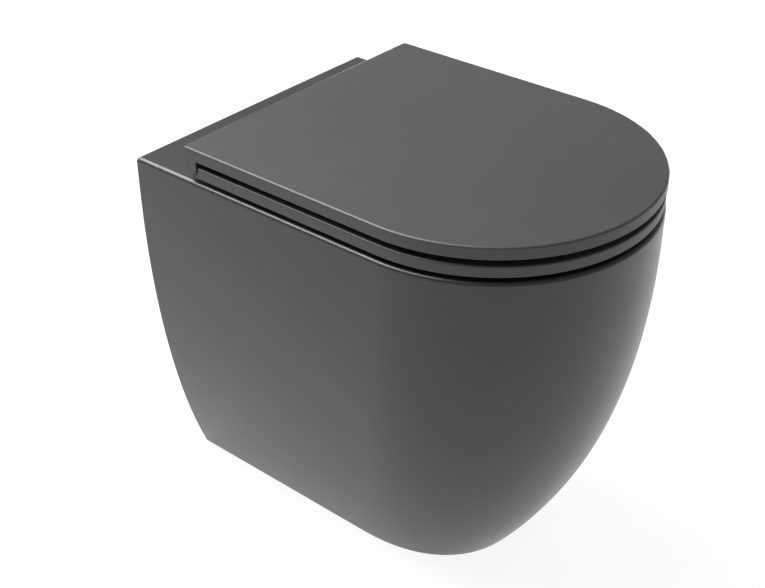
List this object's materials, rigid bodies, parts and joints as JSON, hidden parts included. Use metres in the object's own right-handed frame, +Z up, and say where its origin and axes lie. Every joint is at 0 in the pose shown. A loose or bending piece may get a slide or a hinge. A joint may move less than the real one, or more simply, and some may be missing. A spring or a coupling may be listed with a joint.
{
  "type": "toilet",
  "caption": "Back-to-wall floor-standing toilet pan with a D-shaped slim soft-close seat and cover on quick-release hinges.",
  "frame": {"origin": "middle of the bounding box at floor level", "axes": "+Z up, +Y towards the wall that the pan stands against, -Y to the front, +X to the right seen from the front"},
  "size_m": [0.36, 0.505, 0.4569],
  "materials": {
    "ceramic": "satin dark grey glaze",
    "seat_resin": "satin moulded thermoset",
    "black_plastic": "fine moulded texture",
    "rubber": "matt",
    "steel": "turned and brushed"
  },
  "bodies": {
    "pan_body": {"pan": "ceramic", "inlet_seal": "rubber", "flow_restrictor": "black_plastic", "floor_bracket_left": "steel", "floor_bracket_right": "steel", "clamp_screws": "steel", "clamp_washers": "steel", "clamp_pads": "rubber", "hinge_post_left": "steel", "hinge_post_right": "steel", "post_washers": "rubber", "expansion_sleeves": "rubber", "sleeve_nuts": "steel"},
    "hinge_set": {"hinge_housing_left": "black_plastic", "hinge_housing_right": "black_plastic", "damper_left": "black_plastic", "damper_right": "black_plastic", "release_clip_left": "steel", "release_clip_right": "steel"},
    "button_left": {"release_button_left": "black_plastic"},
    "button_right": {"release_button_right": "black_plastic"},
    "seat": {"seat_ring": "seat_resin", "seat_shaft": "steel", "seat_bush": "black_plastic", "seat_buffers": "rubber"},
    "lid": {"cover": "seat_resin", "cover_shaft": "steel", "cover_bush": "black_plastic", "cover_buffers": "rubber"}
  },
  "joints": [
    {"name": "quick_release_lift", "type": "slide", "parent": "pan_body", "child": "hinge_set", "axis": [0, 0, 1], "range_m": [0, 0.02]},
    {"name": "release_left", "type": "slide", "parent": "hinge_set", "child": "button_left", "axis": [-1, 0, 0], "range_m": [0, 0.0025], "stiffness_N_per_m": 800, "springref_m": -0.002, "deforming": ["release_clip_left"]},
    {"name": "release_right", "type": "slide", "parent": "hinge_set", "child": "button_right", "axis": [1, 0, 0], "range_m": [0, 0.0025], "stiffness_N_per_m": 800, "springref_m": -0.002, "deforming": ["release_clip_right"]},
    {"name": "seat_hinge", "type": "hinge", "parent": "hinge_set", "child": "seat", "pos_m": [0, 0.1689, 0.435], "axis": [-1, 0, 0], "range_deg": [0, 95]},
    {"name": "cover_hinge", "type": "hinge", "parent": "seat", "child": "lid", "pos_m": [0, 0.1689, 0.435], "axis": [1, 0, 0], "range_deg": [-97, 0]}
  ]
}
